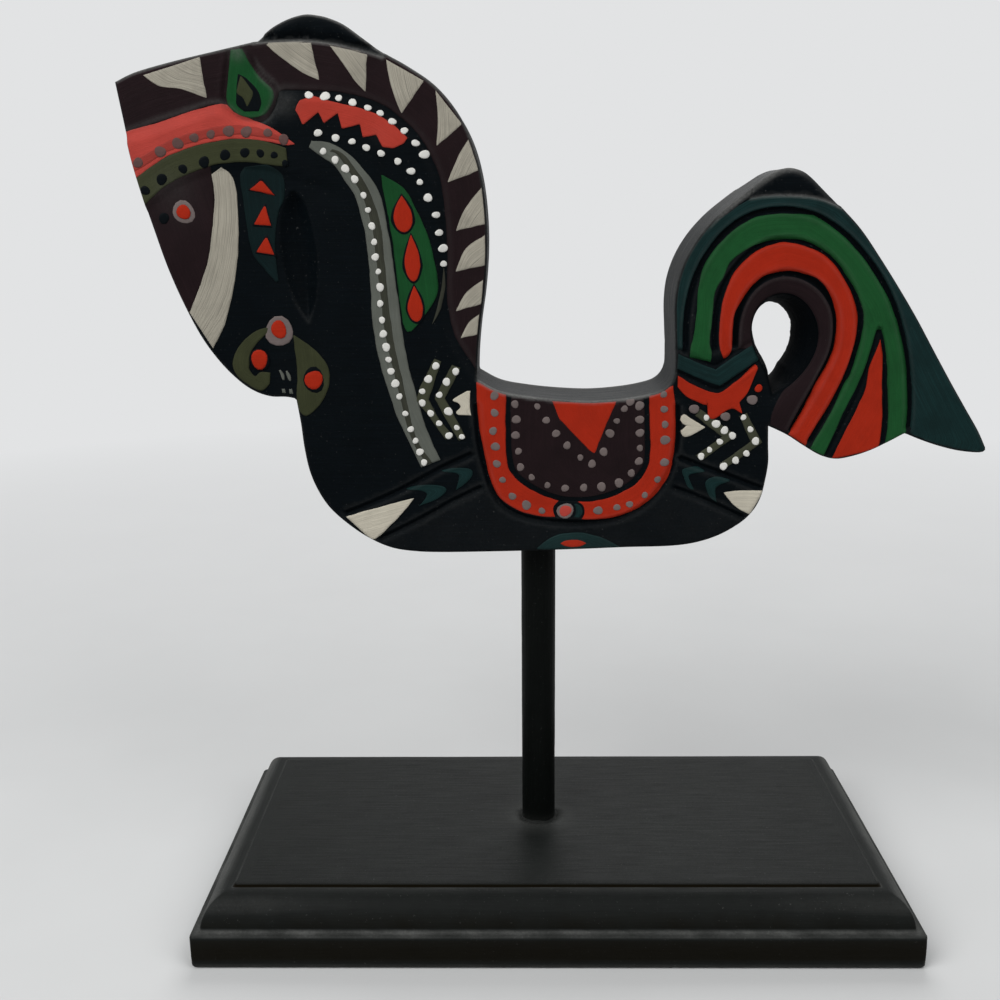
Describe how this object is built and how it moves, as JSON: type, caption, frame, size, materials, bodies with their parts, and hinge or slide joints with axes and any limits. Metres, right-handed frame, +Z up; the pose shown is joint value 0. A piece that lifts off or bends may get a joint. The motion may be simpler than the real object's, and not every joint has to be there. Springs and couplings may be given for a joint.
{
  "type": "painted wooden horse figurine",
  "caption": "Flat carved wooden horse ornament with a curled tail, painted with traditional harness ornament, held on a round post above a moulded rectangular base board.",
  "frame": {"origin": "middle of the base board's underside, on the surface it stands on", "axes": "+X from the head towards the tail, +Y from the front face to the back face, +Z up along the post"},
  "size_m": [0.343, 0.145, 0.3727],
  "materials": {
    "base_black": "satin black paint over brushed wood grain, worn pale along the edges",
    "post_black": "satin black paint on a round dowel",
    "horse_black": "blue-black brushed paint on carved wood, dusty grey along the edges",
    "screw_steel": "zinc-plated steel",
    "paint_red": "vermilion hand-brushed paint",
    "paint_green": "deep green hand-brushed paint",
    "paint_teal": "dark teal hand-brushed paint",
    "paint_brown": "maroon-brown hand-brushed paint",
    "paint_olive": "olive hand-brushed paint",
    "paint_grey": "mid-grey hand-brushed paint",
    "paint_cream": "cream-white thick brushed paint with grain showing"
  },
  "bodies": {
    "root": {"base_board": "base_black", "post": "post_black", "horse_body": "horse_black", "base_screw": "screw_steel"}
  },
  "joints": []
}
